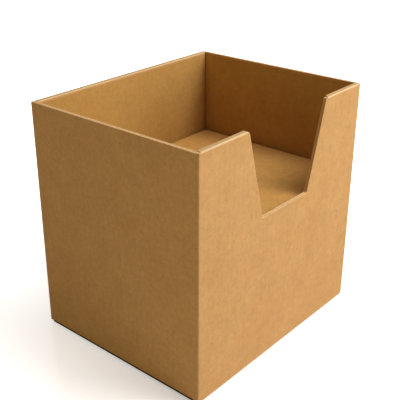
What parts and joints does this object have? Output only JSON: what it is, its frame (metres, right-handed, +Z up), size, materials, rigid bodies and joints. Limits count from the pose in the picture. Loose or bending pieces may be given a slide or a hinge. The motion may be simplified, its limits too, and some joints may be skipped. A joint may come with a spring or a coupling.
{
  "type": "display bin",
  "caption": "Open-topped corrugated board display bin with a pick-out notch in the front and a raised shelf inside.",
  "frame": {"origin": "On the floor, under the middle of the bin's outside.", "axes": "+Z up from the floor to the open top, -Y out through the notched front wall, +X to the right as one looks at the front."},
  "size_m": [0.3, 0.245, 0.293],
  "materials": {
    "board": "matte"
  },
  "bodies": {
    "root": {"bin_body": "board", "shelf": "board"}
  },
  "joints": []
}
